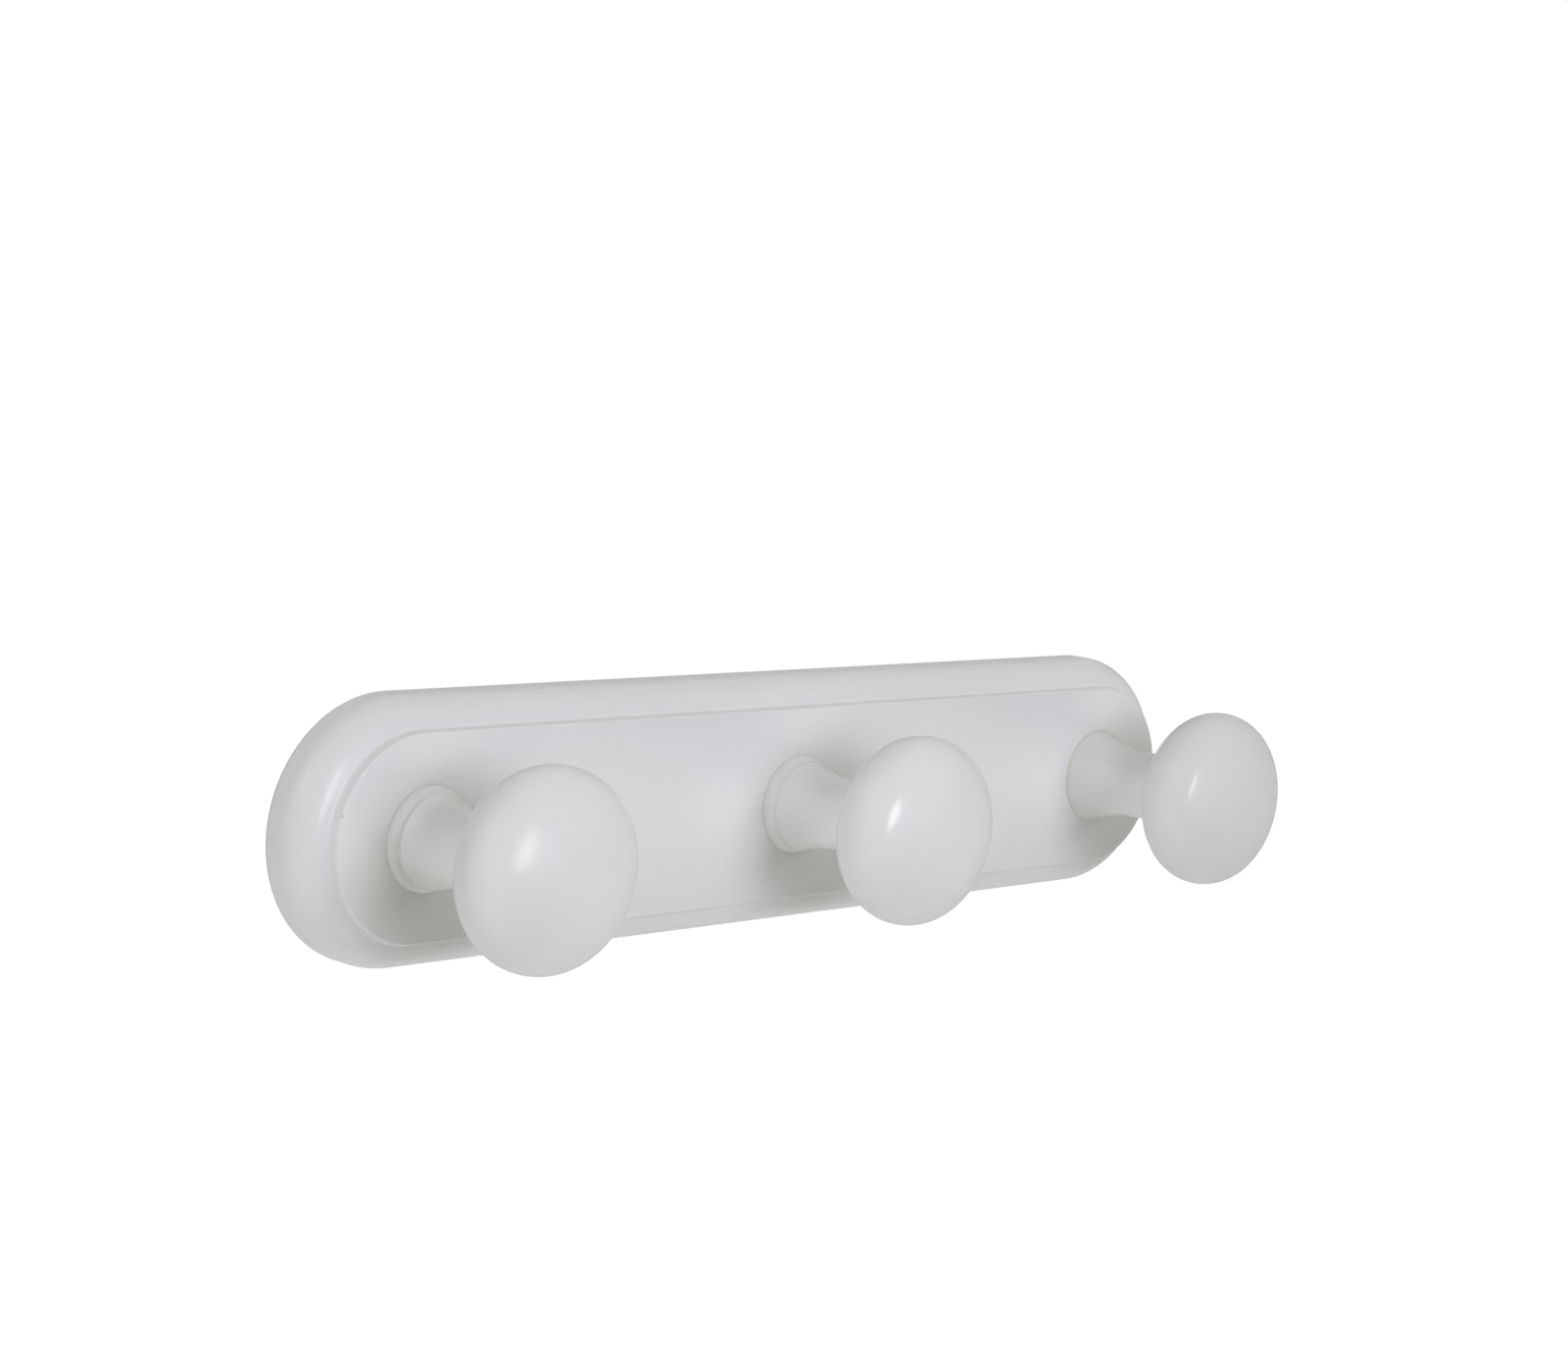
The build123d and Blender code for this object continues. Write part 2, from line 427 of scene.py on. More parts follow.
def rout_for_plate(bm, side):
    """The recess for a hanger plate, the pocket for a wall screw's head and two pilot holes."""
    low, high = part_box(f"hanger_plate_{side}")
    plate_depth = high.y - low.y
    place = Vector(((low.x + high.x) / 2, 0, 0))
    on_floor = place - Vector((0, plate_depth, 0))
    recess_radius = (high.x - low.x) / 2 + PLATE_CLEARANCE
    mouth = ring(bm, recess_radius, place, 2 * PLATE_SCREW_OFFSET)
    floor = sink(bm, mouth, plate_depth)
    pocket = ring(bm, KEYHOLE_ENTRY_RADIUS + HEAD_POCKET_MARGIN, on_floor, KEYHOLE_RISE)
    fill(bm, sink(bm, pocket, HEAD_POCKET_DEPTH), CUT)
    floor += pocket
    for end in (-1, 1):
        centre = on_floor + Vector((0, 0, end * PLATE_SCREW_OFFSET))
        pilot = ring(bm, HANGER_SCREW_RADIUS + SCREW_CLEARANCE, centre)
        fill(bm, sink(bm, pilot, HANGER_SCREW_LENGTH - plate_depth), CUT)
        floor += pilot
    fill(bm, floor, CUT)
    return mouth


# The knobs

def make_knob(side, materials):
    """A turned knob: bead, groove, hollow neck and domed head, with a pilot hole."""
    low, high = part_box(f"knob_{side}")
    base = high.y
    neck_start = NECK_WAIST_RADIUS + NECK_FLARE
    bead = neck_start + BEAD_STANDOUT
    foot = FOOT_FILLETS[side]
    groove_start = Vector((bead - BEAD_TAPER, BEAD_WIDTH))
    groove = Vector((neck_start - GROOVE_DEPTHS[side], BEAD_WIDTH + GROOVE_WIDTH / 2))
    groove_end = Vector((neck_start, BEAD_WIDTH + GROOVE_WIDTH))
    pilot = KNOB_SCREW_RADIUS + SCREW_CLEARANCE
    pilot_tip = KNOB_SCREW_LENGTH + KNOB_SCREW_SINK + base
    pilot_shoulder = pilot_tip - POINT_LENGTH * KNOB_SCREW_RADIUS

    # The neck is one hollow arc. A fillet leads from it into the cone behind the head.
    neck_run = NECK_WAIST_AT - groove_end.y
    neck_radius = (neck_run**2 + NECK_FLARE**2) / (2 * NECK_FLARE)
    neck = Vector((NECK_WAIST_RADIUS + neck_radius, NECK_WAIST_AT))
    rim = Vector((HEAD_RADIUS - HEAD_RIM_RADIUS, HEAD_WIDEST_AT))
    behind = Vector((sin(HEAD_BACK_SLOPE), -cos(HEAD_BACK_SLOPE)))
    inward = Vector((-cos(HEAD_BACK_SLOPE), -sin(HEAD_BACK_SLOPE)))
    cone_start = rim + behind * HEAD_RIM_RADIUS
    from_neck = cone_start + behind * NECK_FILLET - neck
    along = from_neck.dot(inward)
    reach = sqrt(along**2 + (neck_radius - NECK_FILLET) ** 2 - from_neck.length_squared) - along
    fillet = neck + from_neck + inward * reach

    # The head's rim arc runs into a flatter cap.
    cap = Vector((0, HEAD_WIDEST_AT - sqrt((HEAD_CAP_RADIUS - HEAD_RIM_RADIUS) ** 2 - rim.x**2)))
    apex = cap + Vector((0, HEAD_CAP_RADIUS))

    # The profile from the pilot hole's tip across the base and up to the top of the head
    bm = bmesh.new()
    end = bm.verts.new((0, pilot_tip, 0))
    end = line(bm, end, (pilot, pilot_shoulder))
    end = line(bm, end, (pilot, 0))
    end = line(bm, end, (bead + foot, 0))
    end = arc(bm, end, (bead + foot, foot), -pi / 2, FOOT_STEPS)
    corners = []
    for place in (groove_start, groove, groove_end):
        end = line(bm, end, place)
        corners.append(end)
    end = arc(bm, end, neck, turn_between(neck, groove_end, fillet), NECK_STEPS)
    fillet_turn = turn_between(fillet, 2 * fillet - neck, fillet - behind)
    end = arc(bm, end, fillet, fillet_turn, NECK_FILLET_STEPS)
    end = line(bm, end, cone_start)
    end = arc(bm, end, rim, turn_between(rim, cone_start, 2 * rim - cap), HEAD_RIM_STEPS)
    arc(bm, end, cap, turn_between(cap, rim, apex), HEAD_CAP_STEPS)
    for corner, ease in zip(corners, (BEAD_ROUND, GROOVE_ROUND, GROOVE_ROUND)):
        bmesh.ops.bevel(
            bm,
            geom=[corner],
            offset=ease,
            segments=GROOVE_STEPS,
            profile=0.5,
            affect="VERTICES",
            material=-1,
        )
    bmesh.ops.scale(bm, verts=bm.verts, vec=(1, -1, 1))
    lathe(bm, KNOB_STEPS)
    bmesh.ops.translate(bm, verts=bm.verts, vec=((low.x + high.x) / 2, base, (low.z + high.z) / 2))
    face_outwards(bm)
    add_piece(f"turned_knob_{side}", bm, materials, f"knob_{side}")


# The screws

def make_screw(radius, head_radius, length, plain, pitch):
    """A countersunk wood screw with a cut thread and a cross recess, its head's face at Y = 0."""
    head_depth = SCREW_LAND + head_radius - radius
    thread_end = length - POINT_LENGTH * radius
    turns = int((thread_end - head_depth - plain) / pitch) - 1
    thread_start = thread_end - pitch * (turns + 1)

    # One pitch of the thread, wound down the screw
    bm = bmesh.new()
    end = bm.verts.new((THREAD_ROOT * radius, -thread_start, 0))
    end = line(bm, end, (radius, -thread_start - pitch / 2))
    line(bm, end, (THREAD_ROOT * radius, -thread_start - pitch))
    bmesh.ops.spin(
        bm,
        geom=bm.verts[:] + bm.edges[:],
        cent=(0, 0, 0),
        axis=(0, 1, 0),
        dvec=(0, -pitch / SCREW_STEPS, 0),
        angle=2 * pi * turns,
        steps=SCREW_STEPS * turns,
    )
    bmesh.ops.remove_doubles(bm, verts=bm.verts, dist=WELD)
    halfway = -(thread_start + thread_end) / 2
    rims = [edge for edge in bm.edges if edge.is_boundary]
    upper = [edge for edge in rims if edge.verts[0].co.y > halfway]
    lower = [edge for edge in rims if edge.verts[0].co.y < halfway]

    # The lower end closes to a point, and the upper end becomes the round shank and the head.
    point = bmesh.ops.extrude_edge_only(bm, edges=lower)["geom"]
    bmesh.ops.pointmerge(bm, verts=only(bmesh.types.BMVert, point), merge_co=(0, -length, 0))
    shank = bmesh.ops.extrude_edge_only(bm, edges=upper)["geom"]
    for vert in only(bmesh.types.BMVert, shank):
        spoke = Vector((vert.co.x, 0, vert.co.z)).normalized() * radius
        vert.co = spoke - Vector((0, thread_start - pitch / 2, 0))
    bmesh.ops.remove_doubles(bm, verts=bm.verts, dist=WELD)
    loop = [edge for edge in bm.edges if edge.is_boundary]
    loop = sink(bm, loop, head_depth + pitch / 2 - thread_start)
    loop = sink(bm, loop, SCREW_LAND - head_depth, head_radius / radius)
    loop = sink(bm, loop, SCREW_EASE - SCREW_LAND)
    loop = sink(bm, loop, -SCREW_EASE, 1 - SCREW_EASE / head_radius)

    # One arm of the cross recess, and three more a quarter turn apart
    reach = RECESS_REACH * head_radius
    half = RECESS_HALF_WIDTH * head_radius
    arm = [bm.verts.new((half, 0, half))]
    for x, z in ((half, reach), (-half, reach), (-half, half)):
        arm.append(line(bm, arm[-1], (x, 0, z)))
    wires = [edge for edge in bm.edges if edge.is_wire]
    bmesh.ops.spin(
        bm,
        geom=arm + wires,
        cent=(0, 0, 0),
        axis=(0, 1, 0),
        angle=-3 * pi / 2,
        steps=3,
        use_duplicate=True,
    )
    bmesh.ops.remove_doubles(bm, verts=bm.verts, dist=WELD)
    cross = [edge for edge in bm.edges if edge.is_wire]
    fill(bm, sink(bm, cross, RECESS_DEPTH * head_radius, RECESS_TAPER))
    fill(bm, loop + cross)
    for face in bm.faces:
        face.material_index = OUTSIDE
    face_outwards(bm)
    return bm


def make_knob_screw(side, materials):
    """The long screw that holds a knob, its head sunk below the board's back."""
    node = f"knob_screw_{side}"
    bm = make_screw(
        KNOB_SCREW_RADIUS,
        KNOB_SCREW_HEAD_RADIUS,
        KNOB_SCREW_LENGTH,
        KNOB_SCREW_PLAIN,
        KNOB_SCREW_PITCH,
    )
    bmesh.ops.translate(bm, verts=bm.verts, vec=(centre_of(node).x, -KNOB_SCREW_SINK, 0))
    add_piece(f"long_screw_{side}", bm, materials, node)


def make_hanger_screws(side, materials):
    """The two short screws that hold a hanger plate, below and above its keyhole."""
    node = f"hanger_screws_{side}"
    bm = make_screw(
        HANGER_SCREW_RADIUS,
        HANGER_SCREW_HEAD_RADIUS,
        HANGER_SCREW_LENGTH,
        HANGER_SCREW_PLAIN,
        HANGER_SCREW_PITCH,
    )
    bmesh.ops.translate(bm, verts=bm.verts, vec=(centre_of(node).x, 0, -PLATE_SCREW_OFFSET))
    copy = bmesh.ops.duplicate(bm, geom=bm.verts[:] + bm.edges[:] + bm.faces[:])["geom"]
    copied = only(bmesh.types.BMVert, copy)
    bmesh.ops.translate(bm, verts=copied, vec=(0, 0, 2 * PLATE_SCREW_OFFSET))
    add_piece(f"short_screws_{side}", bm, materials, node)


# The hanger plates

def keyhole(bm, place, grow):
    """A keyhole loop, its round entry below and its slot above, grown all round."""
    rise = Vector((0, 0, KEYHOLE_RISE / 2))
    entry_radius = KEYHOLE_ENTRY_RADIUS + grow
    slot_radius = KEYHOLE_SLOT_RADIUS + grow
    gap = asin(slot_radius / entry_radius)
    known = set(bm.edges)
    start = bm.verts.new(place - rise + Vector((sin(gap), 0, cos(gap))) * entry_radius)
    end = arc(bm, start, place - rise, 2 * (pi - gap), HOLE_STEPS, axis=(0, 1, 0))
    end = line(bm, end, place + rise - Vector((slot_radius, 0, 0)))
    end = arc(bm, end, place + rise, pi, HOLE_STEPS // 2, axis=(0, 1, 0))
    bm.edges.new((end, start))
    return [edge for edge in bm.edges if edge not in known]


def make_plate(side, materials):
    """A pressed plate with eased edges, a keyhole and two countersunk holes."""
    node = f"hanger_plate_{side}"
    low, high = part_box(node)
    thickness = high.y - low.y
    half_width = (high.x - low.x) / 2
    place = Vector(((low.x + high.x) / 2, 0, 0))

    # Each level of the wall has a depth and how far the edges are eased there.
    levels = (
        (0, PLATE_EASE),
        (PLATE_EASE, 0),
        (thickness - PLATE_EASE, 0),
        (thickness, PLATE_EASE),
    )
    outlines = []
    keyholes = []
    bm = bmesh.new()
    for depth, ease in levels:
        at_depth = place - Vector((0, depth, 0))
        outlines.append(ring(bm, half_width - ease, at_depth, 2 * PLATE_SCREW_OFFSET))
        keyholes.append(keyhole(bm, at_depth, ease))
    for loops in (outlines, keyholes):
        for upper, lower in zip(loops, loops[1:]):
            bmesh.ops.bridge_loops(bm, edges=upper + lower)

    # The outer and the inner face are filled round the keyhole and the screw holes.
    outer = outlines[0] + keyholes[0]
    inner = outlines[-1] + keyholes[-1]
    sink_radius = HANGER_SCREW_HEAD_RADIUS + SCREW_CLEARANCE
    inner_radius = sink_radius - (thickness - SCREW_LAND)
    for end in (-1, 1):
        centre = place + Vector((0, 0, end * PLATE_SCREW_OFFSET))
        hole = ring(bm, sink_radius, centre)
        outer += hole
        hole = sink(bm, hole, SCREW_LAND)
        inner += sink(bm, hole, thickness - SCREW_LAND, inner_radius / sink_radius, centre)
    fill(bm, outer)
    fill(bm, inner)
    for face in bm.faces:
        face.material_index = OUTSIDE
    face_outwards(bm)
    add_piece(f"keyhole_plate_{side}", bm, materials, node)


# Finishes

def linear(colour):
    """An sRGB hex colour as linear light."""
    channels = [int(colour[i : i + 2], 16) / 255 for i in (1, 3, 5)]
    return [c / 12.92 if c <= 0.04045 else ((c + 0.055) / 1.055) ** 2.4 for c in channels] + [1.0]


def add_node(tree, kind, inputs=None, **settings):
    """Adds a node with its settings, and gives its inputs values or links by name or number."""
    made = tree.nodes.new(kind)
    for name, value in settings.items():
        setattr(made, name, value)
    for socket, value in (inputs or {}).items():
        if isinstance(value, bpy.types.NodeSocket):
            tree.links.new(value, made.inputs[socket])
        else:
            made.inputs[socket].default_value = value
    return made


def new_material(name):
    """A material without nodes, and its empty tree."""
    material = bpy.data.materials.new(name)
    material.use_nodes = True
    material.node_tree.nodes.clear()
    return material, material.node_tree


def finish_material(tree, inputs):
    """Adds the surface shader with its inputs, and joins it to the output."""
    shader = add_node(tree, "ShaderNodeBsdfPrincipled", inputs)
    add_node(tree, "ShaderNodeOutputMaterial", {"Surface": shader.outputs[0]})


def board_paint():
    """Satin white paint on wood: pale and even, with ridges of grain in the moulded edge's gloss."""
    material, tree = new_material("satin_board_paint")
    place = add_node(tree, "ShaderNodeTexCoord").outputs["Object"]
    along = add_node(tree, "ShaderNodeMapping", {"Vector": place, "Scale": (GRAIN_STRETCH, 1, 1)})
    ridges = add_node(
        tree,
        "ShaderNodeTexNoise",
        {"Vector": along.outputs[0], "Scale": 1 / GRAIN_WIDTH, "Detail": 2.0},
    )
    peel = add_node(
        tree, "ShaderNodeTexNoise", {"Vector": place, "Scale": 1 / PEEL_SIZE, "Detail": 2.0}
    )

    # Sanding has left little of the grain on the raised field.
    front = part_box("backboard")[0].y
    part = add_node(tree, "ShaderNodeSeparateXYZ", {"Vector": place}).outputs
    raised = add_node(
        tree,
        "ShaderNodeMapRange",
        {
            "Value": part["Y"],
            "From Min": front,
            "From Max": front + FIELD_ARRIS,
            "To Min": SANDED_GRAIN,
            "To Max": 1.0,
        },
    )
    orange = add_node(
        tree, "ShaderNodeMath", {0: peel.outputs[0], 1: PEEL_SHARE}, operation="MULTIPLY"
    )
    height = add_node(
        tree,
        "ShaderNodeMath",
        {0: ridges.outputs[0], 1: raised.outputs[0], 2: orange.outputs[0]},
        operation="MULTIPLY_ADD",
    )
    relief = add_node(
        tree,
        "ShaderNodeBump",
        {"Height": height.outputs[0], "Distance": BOARD_RELIEF, "Strength": 1.0},
    )

    # Painted shade: a darker spot for the hollow of a nick at the left end, and a darker line along
    # the edge of the back
    colour = paint_colour(tree, place, *BOARD_WHITES)
    nick = add_node(tree, "ShaderNodeVectorMath", {0: place, 1: NICK_PLACE}, operation="DISTANCE")
    nick_shade = add_node(
        tree,
        "ShaderNodeMapRange",
        {
            "Value": nick.outputs["Value"],
            "From Min": NICK_RADIUS,
            "From Max": NICK_CORE * NICK_RADIUS,
        },
    )
    shown = add_node(
        tree,
        "ShaderNodeMix",
        {MIX_SHARE: nick_shade.outputs[0], MIX_FIRST: colour, MIX_SECOND: linear(NICK_SHADE_COLOUR)},
        data_type="RGBA",
    )
    # The darker line along the back edge is painted shade.
    back_edge = add_node(
        tree,
        "ShaderNodeMath",
        {0: part["Y"], 1: -BACK_EDGE_SHADE_FROM_BACK, 2: BACK_EDGE_SHADE_HALF_WIDTH},
        operation="COMPARE",
    )
    edged = add_node(
        tree,
        "ShaderNodeMix",
        {
            MIX_SHARE: back_edge.outputs[0],
            MIX_FIRST: shown.outputs[MIX_RESULT],
            MIX_SECOND: linear(BACK_EDGE_SHADE_COLOUR),
        },
        data_type="RGBA",
    )
    finish_paint(tree, place, edged.outputs[MIX_RESULT], relief.outputs[0], BOARD_GLOSS)
    return material


def knob_paint(side):
    """Semi-gloss white paint on a turned knob: fine rings from the lathe, a faint line of painted
    shade at its foot.
    """
    material, tree = new_material(f"semigloss_knob_paint_{side}")
    place = add_node(tree, "ShaderNodeTexCoord").outputs["Object"]
    axis = add_node(
        tree,
        "ShaderNodeMapping",
        {"Vector": place, "Location": (-centre_of(f"knob_{side}").x, 0, 0)},
    )
    part = add_node(tree, "ShaderNodeSeparateXYZ", {"Vector": axis.outputs[0]}).outputs
    spoke = add_node(tree, "ShaderNodeCombineXYZ", {"X": part["X"], "Z": part["Z"]})
    radius = add_node(tree, "ShaderNodeVectorMath", {0: spoke.outputs[0]}, operation="LENGTH")
    turned = add_node(
        tree, "ShaderNodeCombineXYZ", {"X": radius.outputs["Value"], "Y": part["Y"]}
    )
    rings = add_node(
        tree,
        "ShaderNodeTexNoise",
        {"Vector": turned.outputs[0], "Scale": 1 / RING_WIDTH, "Detail": 1.0},
    )
    peel = add_node(
        tree, "ShaderNodeTexNoise", {"Vector": place, "Scale": 1 / PEEL_SIZE, "Detail": 2.0}
    )
    height = add_node(
        tree, "ShaderNodeMath", {0: rings.outputs[0], 1: peel.outputs[0]}, operation="ADD"
    )
    relief = add_node(
        tree,
        "ShaderNodeBump",
        {"Height": height.outputs[0], "Distance": KNOB_RELIEF, "Strength": 1.0},
    )

    # A line of painted shade in the crease at the foot
    # The right knob's darker white is painted shade.
    colour = paint_colour(tree, place, *KNOB_WHITES_AND_SHADE[side])
    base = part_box(f"knob_{side}")[1].y
    foot = add_node(
        tree,
        "ShaderNodeMapRange",
        {
            "Value": part["Y"],
            "From Min": base - FOOT_SHADE_LINES[side],
            "From Max": base - FOOT_SHADE_CORE * FOOT_SHADE_LINES[side],
        },
    )
    shown = add_node(
        tree,
        "ShaderNodeMix",
        {MIX_SHARE: foot.outputs[0], MIX_FIRST: colour, MIX_SECOND: linear(FOOT_SHADE_COLOUR)},
        data_type="RGBA",
    )
    finish_paint(tree, place, shown.outputs[MIX_RESULT], relief.outputs[0], KNOB_GLOSS[side])
    return material


def paint_colour(tree, place, pale, deep):
    """White paint that varies a little from place to place, with a few specks of dust in it."""
    mottle = add_node(
        tree, "ShaderNodeTexNoise", {"Vector": place, "Scale": 1 / MOTTLE_SIZE, "Detail": 3.0}
    )
    white = add_node(
        tree,
        "ShaderNodeMix",
        {MIX_SHARE: mottle.outputs[0], MIX_FIRST: linear(pale), MIX_SECOND: linear(deep)},
        data_type="RGBA",
    )
    dust = add_node(tree, "ShaderNodeTexVoronoi", {"Vector": place, "Scale": 1 / SPECK_SPACING})
    speck_edge = SPECK_RADIUS / SPECK_SPACING
    speck = add_node(
        tree,
        "ShaderNodeMapRange",
        {
            "Value": dust.outputs["Distance"],
            "From Min": speck_edge,
            "From Max": SPECK_CORE * speck_edge,
            "To Max": SPECK_STRENGTH,
        },
    )
    shown = add_node(
        tree,
        "ShaderNodeMix",
        {
            MIX_SHARE: speck.outputs[0],
            MIX_FIRST: white.outputs[MIX_RESULT],
            MIX_SECOND: linear(SPECK_COLOUR),
        },
        data_type="RGBA",
    )
    return shown.outputs[MIX_RESULT]


def finish_paint(tree, place, colour, relief, gloss):
    """The paint's surface: its matting agent dulls the gloss, a little more in some places."""
    roughness, strength = gloss
    uneven = add_node(
        tree, "ShaderNodeTexNoise", {"Vector": place, "Scale": 1 / GLOSS_PATCH, "Detail": 2.0}
    )
    dulled = add_node(
        tree,
        "ShaderNodeMapRange",
        {
            "Value": uneven.outputs[0],
            "From Min": NOISE_LOW,
            "From Max": NOISE_HIGH,
            "To Min": roughness - GLOSS_SPREAD,
            "To Max": roughness + GLOSS_SPREAD,
        },
    )
    finish_material(
        tree,
        {
            "Base Color": colour,
            "Roughness": dulled.outputs[0],
            "IOR": PAINT_IOR,
            "Specular IOR Level": strength,
            "Normal": relief,
        },
    )


def bare_wood():
    """Routed beech without paint, in the recesses: dull, with streaks along the board."""
    material, tree = new_material("bare_beech")
    place = add_node(tree, "ShaderNodeTexCoord").outputs["Object"]
    along = add_node(tree, "ShaderNodeMapping", {"Vector": place, "Scale": (BEECH_STRETCH, 1, 1)})
    grain = add_node(
        tree,
        "ShaderNodeTexNoise",
        {"Vector": along.outputs[0], "Scale": 1 / BEECH_GRAIN, "Detail": 4.0},
    )
    pale, deep = BEECH_COLOURS
    colour = add_node(
        tree,
        "ShaderNodeMix",
        {MIX_SHARE: grain.outputs[0], MIX_FIRST: linear(pale), MIX_SECOND: linear(deep)},
        data_type="RGBA",
    )
    finish_material(
        tree,
        {
            "Base Color": colour.outputs[MIX_RESULT],
            "Roughness": BEECH_ROUGHNESS,
            "IOR": BEECH_IOR,
        },
    )
    return material


def zinc(name, colour, roughness):
    """Bright zinc plating on steel: a cool grey mirror, slightly clouded."""
    material, tree = new_material(name)
    place = add_node(tree, "ShaderNodeTexCoord").outputs["Object"]
    cloud = add_node(
        tree, "ShaderNodeTexNoise", {"Vector": place, "Scale": 1 / CLOUD_SIZE, "Detail": 4.0}
    )
    dulled = add_node(
        tree,
        "ShaderNodeMapRange",
        {
            "Value": cloud.outputs[0],
            "From Min": NOISE_LOW,
            "From Max": NOISE_HIGH,
            "To Min": roughness - CLOUD_SPREAD,
            "To Max": roughness + CLOUD_SPREAD,
        },
    )
    finish_material(
        tree, {"Base Color": linear(colour), "Metallic": 1.0, "Roughness": dulled.outputs[0]}
    )
    return material


# Stage, light and camera

def seen_white(tree):
    """How much of the white background a ray sees: all of it straight, less in a reflection."""
    path = add_node(tree, "ShaderNodeLightPath").outputs
    mirrored = add_node(
        tree,
        "ShaderNodeMath",
        {0: path["Is Glossy Ray"], 1: path["Is Transmission Ray"]},
        operation="MAXIMUM",
    )
    dimmed = add_node(
        tree, "ShaderNodeMath", {0: mirrored.outputs[0], 1: MIRRORED_LEVEL}, operation="MULTIPLY"
    )
    seen = add_node(
        tree,
        "ShaderNodeMath",
        {0: path["Is Camera Ray"], 1: dimmed.outputs[0]},
        operation="MAXIMUM",
    )
    return seen.outputs[0]


def make_world():
    """A white surround that the camera sees in full and that adds only a little light."""
    world = bpy.data.worlds.new("studio")
    world.use_nodes = True
    tree = world.node_tree
    tree.nodes.clear()
    level = add_node(
        tree,
        "ShaderNodeMapRange",
        {"Value": seen_white(tree), "To Min": AMBIENT_LEVEL, "To Max": 1.0},
    )
    white = add_node(
        tree, "ShaderNodeBackground", {"Color": (1, 1, 1, 1), "Strength": level.outputs[0]}
    )
    add_node(tree, "ShaderNodeOutputWorld", {"Surface": white.outputs[0]})
    bpy.context.scene.world = world


def make_floor():
    """A pale floor that takes the rail's shadow and fades to white away from it."""
    bm = bmesh.new()
    bmesh.ops.create_grid(bm, x_segments=1, y_segments=1, size=FLOOR_SIZE / 2)
    bmesh.ops.translate(bm, verts=bm.verts, vec=(0, 0, -FLOOR_DROP))
    mesh = bpy.data.meshes.new("floor")
    bm.to_mesh(mesh)
    bm.free()
    material, tree = new_material("pale_floor")
    place = add_node(tree, "ShaderNodeTexCoord").outputs["Object"]
    away = add_node(tree, "ShaderNodeVectorMath", {0: place}, operation="LENGTH")
    glow = add_node(
        tree,
        "ShaderNodeMapRange",
        {
            "Value": away.outputs["Value"],
            "From Min": FLOOR_DROP,
            "From Max": FLOOR_FADE,
            "To Min": FLOOR_GLOW_BELOW,
            "To Max": 1.0,
        },
        interpolation_type="SMOOTHSTEP",
    )
    seen = add_node(
        tree, "ShaderNodeMath", {0: glow.outputs[0], 1: seen_white(tree)}, operation="MULTIPLY"
    )
    light = add_node(tree, "ShaderNodeEmission", {"Strength": seen.outputs[0]})
    matt = add_node(tree, "ShaderNodeBsdfDiffuse", {"Color": linear(FLOOR_COLOUR)})
    both = add_node(tree, "ShaderNodeAddShader", {0: light.outputs[0], 1: matt.outputs[0]})
    add_node(tree, "ShaderNodeOutputMaterial", {"Surface": both.outputs[0]})
    mesh.materials.append(material)
    floor = bpy.data.objects.new("floor", mesh)
    bpy.context.scene.collection.objects.link(floor)


def towards(turn, rise):
    """A direction out from the front of the rail: turned to its left and raised."""
    return Vector((-sin(turn) * cos(rise), -cos(turn) * cos(rise), sin(rise)))


def add_lamp(name, turn, rise, distance, size, level, colour, lean=0, mirrored=False):
    """A round soft box aimed at the rail. Its level is the light it gives white card facing it."""
    lamp = bpy.data.lights.new(name, "AREA")
    lamp.shape = "ELLIPSE"
    lamp.size, lamp.size_y = size
    lamp.energy = level * pi**2 * distance**2
    lamp.color = linear(colour)[:3]
    out = towards(radians(turn), radians(rise))
    roll = Matrix.Rotation(radians(lean), 4, "Z")
    aim = out.to_track_quat("Z", "Y").to_matrix().to_4x4() @ roll
    stand = bpy.data.objects.new(name, lamp)
    stand.matrix_world = Matrix.Translation(out * distance) @ aim
    stand.visible_camera = False
    stand.visible_glossy = mirrored
    bpy.context.scene.collection.objects.link(stand)


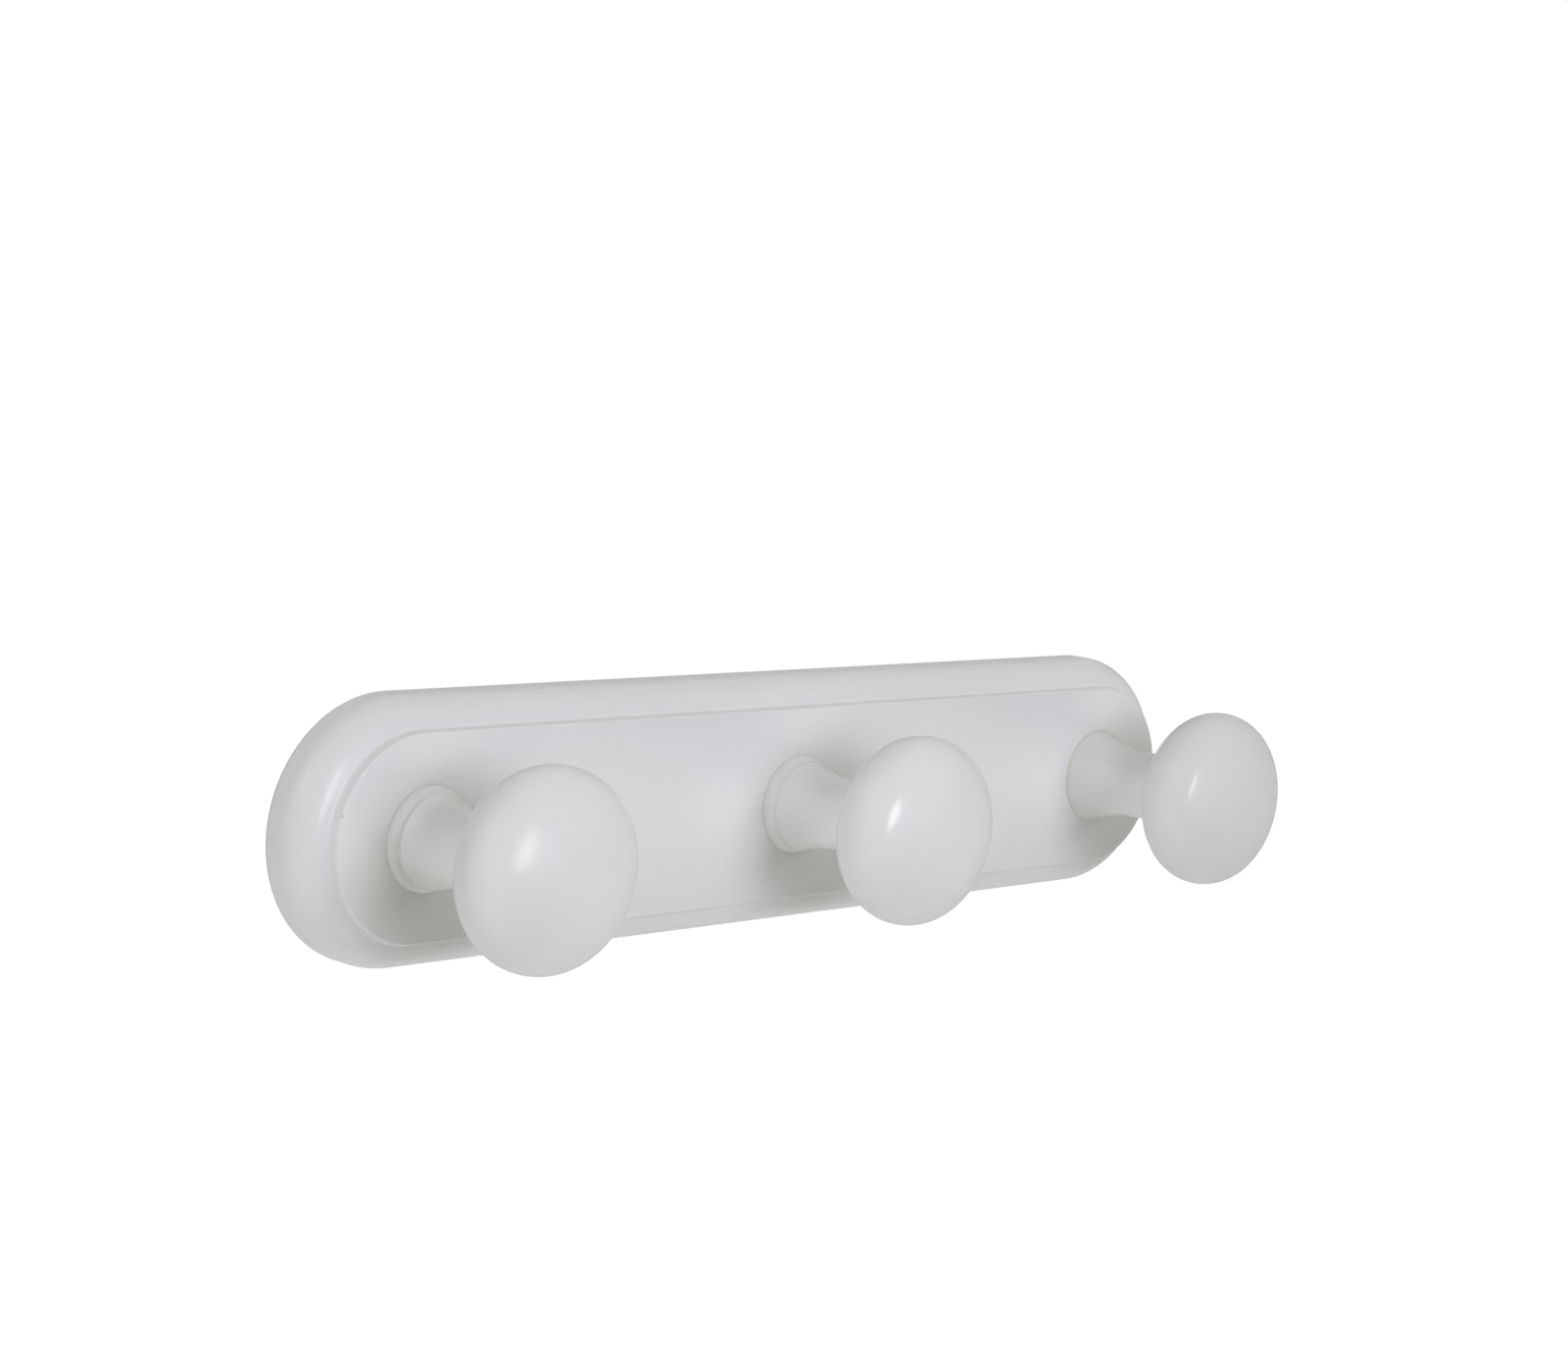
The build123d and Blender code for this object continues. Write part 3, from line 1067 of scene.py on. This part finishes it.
def make_camera():
    """The camera, rolled a little about its line of sight."""
    out = towards(CAMERA_TURN, CAMERA_RISE)
    across = (-out).cross(Vector((0, 0, 1))).normalized()
    above = across.cross(-out)
    right = cos(CAMERA_ROLL) * across + sin(CAMERA_ROLL) * above
    top = cos(CAMERA_ROLL) * above - sin(CAMERA_ROLL) * across
    aim = Matrix((right, top, out)).transposed().to_4x4()
    data = bpy.data.cameras.new("camera")
    data.lens = CAMERA_LENS
    data.sensor_fit = "HORIZONTAL"
    data.sensor_width = SENSOR_WIDTH
    camera = bpy.data.objects.new("camera", data)
    camera.matrix_world = Matrix.Translation(CAMERA_TARGET + out * CAMERA_DISTANCE) @ aim
    bpy.context.scene.collection.objects.link(camera)
    bpy.context.scene.camera = camera


# The rail
plate_zinc = zinc("zinc_plated_sheet", *PLATE_ZINC)
screw_zinc = zinc("zinc_plated_screw", *SCREW_ZINC)
make_board([board_paint(), bare_wood()])
for knob_side in KNOB_SIDES:
    make_knob(knob_side, [knob_paint(knob_side)])
    make_knob_screw(knob_side, [screw_zinc])
for hanger_side in HANGER_SIDES:
    make_plate(hanger_side, [plate_zinc])
    make_hanger_screws(hanger_side, [screw_zinc])

# The studio: each lamp has a turn and rise in degrees, a distance and size in metres, and a level.
make_world()
make_floor()
add_lamp("strip_box", 23, 14, 1.2, (0.23, 0.62), 0.184, "#FFFFFF", lean=-24, mirrored=True)
add_lamp("front_box", 9, 14, 1.1, (0.45, 0.55), 0.355, "#EBECFF")
add_lamp("top_box", 0, 50, 1.4, (1.2, 0.8), 0.186, "#FFF9E1")
add_lamp("left_high_box", 95, 34, 3.0, (1.6, 1.6), 0.36, "#FFFFFF")
add_lamp("left_low_box", 70, -34, 1.5, (0.8, 0.8), 0.193, "#FFFCF1")
add_lamp("left_rear_box", 120, 0, 3.0, (1.6, 1.6), 0.105, "#FFFFFF")
add_lamp("right_high_box", -55, 34, 1.5, (1.0, 0.9), 0.26, "#FDFFF9")
add_lamp("right_low_box", -55, -34, 1.5, (1.0, 0.8), 0.213, "#FFFBEA")
add_lamp("rear_box", 180, 45, 1.5, (1.4, 1.0), 0.196, "#FAFDFF")
add_lamp("low_rear_box", 180, -60, 1.0, (1.17, 0.83), 0.263, "#FFFFFF")
add_lamp("back_box", 180, -6, 1.5, (0.6, 0.3), 0.55, "#FFFFFF")
make_camera()
bpy.context.scene.view_settings.view_transform = "Standard"
